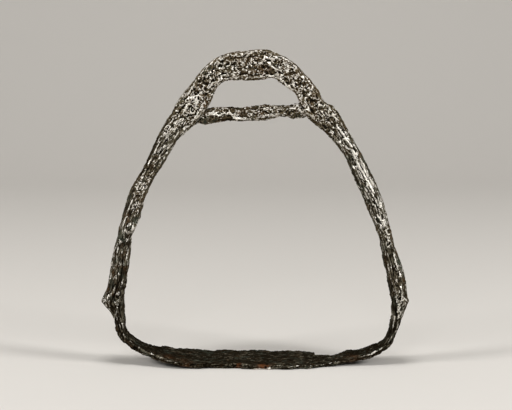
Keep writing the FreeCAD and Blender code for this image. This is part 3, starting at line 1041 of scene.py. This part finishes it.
class STIRRUP_OT_tread(bpy.types.Operator):
    """Forge and weather the tread and its turned-up tongues"""
    bl_idname = "stirrup.tread"
    bl_label = "Tread"

    def execute(self, context):
        iron = context.scene.stirrup_iron
        finish = context.scene.stirrup_finish
        piece = forged_copy("tread", iron.mesh_step * TREAD_STEP_SHARE)
        fray(piece, iron.fray_depth)
        weather(
            piece, TREAD_LINE_SHARES, iron, streaked=1.2, pitted=0.4, edge_rub=0.9, face_light_share=0.0,
            stains=spread_on_tread)
        material = wrought_iron(
            finish, "rusted_wrought_plate", finish.plate_oxide, specks=2.6, bare_from=3.3,
            patches=TREAD_PATCHES, stain_colour=finish.orange, patch_stretch=STREAK_STRETCH)
        dress(piece, "tread", material)
        return {"FINISHED"}


# The floor and backdrop, in metres
SWEEP_WIDTH = 8.0
SWEEP_DEPTH = 4.0
SWEEP_BACK = 0.6
SWEEP_RADIUS = 0.6
SWEEP_HEIGHT = 3.0
SWEEP_STEPS = 32
FLOOR_ROUGHNESS = 0.8
VIEW_REACH = 20.0

# Lamps: place and width in metres, and share of the main lamp's power
LAMPS = (
    ("right_lamp", (0.95, -0.45, 0.60), 0.4, 1.0),
    ("left_lamp", (-0.95, -0.40, 0.65), 0.4, 0.8),
    ("top_lamp", (-0.05, -0.10, 1.20), 0.5, 0.6),
    ("front_lamp", (-0.20, -1.40, 0.70), 0.6, 0.5),
)


def make_sweep(stage):
    """A pale floor that curves up into a backdrop behind the stirrup."""
    sweep = bmesh.new()
    ends = [sweep.verts.new((side * SWEEP_WIDTH / 2, SWEEP_BACK, 0)) for side in (-1, 1)]
    front = sweep.edges.new(ends)
    curve = bmesh.ops.spin(
        sweep, geom=[front, *ends], cent=(0, SWEEP_BACK, SWEEP_RADIUS), axis=(1, 0, 0), angle=math.pi / 2,
        steps=SWEEP_STEPS)
    top = [item for item in curve["geom_last"] if isinstance(item, bmesh.types.BMEdge)]
    for edge, way in ((front, (0, -SWEEP_DEPTH, 0)), (top[0], (0, 0, SWEEP_HEIGHT))):
        new = bmesh.ops.extrude_edge_only(sweep, edges=[edge])["geom"]
        corners = [item for item in new if isinstance(item, bmesh.types.BMVert)]
        bmesh.ops.translate(sweep, vec=way, verts=corners)
    bmesh.ops.recalc_face_normals(sweep, faces=sweep.faces)
    mesh = bpy.data.meshes.new("floor")
    sweep.to_mesh(mesh)
    sweep.free()
    mesh.shade_smooth()
    floor = bpy.data.objects.new("floor", mesh)
    bpy.context.scene.collection.objects.link(floor)
    material = bpy.data.materials.new("pale_painted_board")
    material.use_nodes = True
    shader = material.node_tree.nodes["Principled BSDF"]
    shader.inputs["Base Color"].default_value = stage.floor
    shader.inputs["Roughness"].default_value = FLOOR_ROUGHNESS
    mesh.materials.append(material)


class STIRRUP_OT_stage(bpy.types.Operator):
    """Set the pale floor, the backdrop, the lamps and the camera"""
    bl_idname = "stirrup.stage"
    bl_label = "Stage"

    def execute(self, context):
        stage = context.scene.stirrup_stage
        make_sweep(stage)
        aim = Vector((0, 0, stage.camera_aim))
        back = Vector((0, -math.cos(stage.camera_rise), math.sin(stage.camera_rise)))
        camera = bpy.data.objects.new("camera", bpy.data.cameras.new("camera"))
        context.scene.collection.objects.link(camera)
        camera.data.lens = stage.lens
        camera.data.clip_end = VIEW_REACH
        camera.location = aim + back * stage.camera_distance
        camera.rotation_euler = (-back).to_track_quat("-Z", "Y").to_euler()
        context.scene.camera = camera
        for name, place, size, share in LAMPS:
            lamp = bpy.data.lights.new(name, "AREA")
            lamp.shape = "DISK"
            lamp.size = size
            lamp.energy = stage.lamp_power * share
            holder = bpy.data.objects.new(name, lamp)
            context.scene.collection.objects.link(holder)
            holder.location = place
            holder.rotation_euler = (aim - Vector(place)).to_track_quat("-Z", "Y").to_euler()
        world = bpy.data.worlds.new("studio")
        world.use_nodes = True
        background = world.node_tree.nodes["Background"]
        background.inputs["Color"].default_value = stage.sky
        background.inputs["Strength"].default_value = stage.sky_strength
        context.scene.world = world
        context.scene.view_settings.view_transform = "Standard"
        return {"FINISHED"}


class STIRRUP_PT_panel(bpy.types.Panel):
    """The stirrup's steps, and their sizes and colours"""
    bl_idname = "STIRRUP_PT_panel"
    bl_label = "Stirrup"
    bl_space_type = "VIEW_3D"
    bl_region_type = "UI"
    bl_category = "Stirrup"

    def draw(self, context):
        for operator in OPERATORS:
            self.layout.operator(operator.bl_idname)
        for group in (context.scene.stirrup_iron, context.scene.stirrup_finish, context.scene.stirrup_stage):
            box = self.layout.box()
            for name in group.bl_rna.properties.keys():
                if name not in ("rna_type", "name"):
                    box.prop(group, name)


OPERATORS = (STIRRUP_OT_arms, STIRRUP_OT_cross_bar, STIRRUP_OT_tread, STIRRUP_OT_stage)
CLASSES = (StirrupIron, StirrupFinish, StirrupStage) + OPERATORS + (STIRRUP_PT_panel,)


def register():
    for item in CLASSES:
        bpy.utils.register_class(item)
    bpy.types.Scene.stirrup_iron = bpy.props.PointerProperty(type=StirrupIron)
    bpy.types.Scene.stirrup_finish = bpy.props.PointerProperty(type=StirrupFinish)
    bpy.types.Scene.stirrup_stage = bpy.props.PointerProperty(type=StirrupStage)


def unregister():
    del bpy.types.Scene.stirrup_stage
    del bpy.types.Scene.stirrup_finish
    del bpy.types.Scene.stirrup_iron
    for item in reversed(CLASSES):
        bpy.utils.unregister_class(item)


def main():
    register()
    bpy.ops.stirrup.arms()
    bpy.ops.stirrup.cross_bar()
    bpy.ops.stirrup.tread()
    bpy.ops.stirrup.stage()


if __name__ == "__main__":
    main()
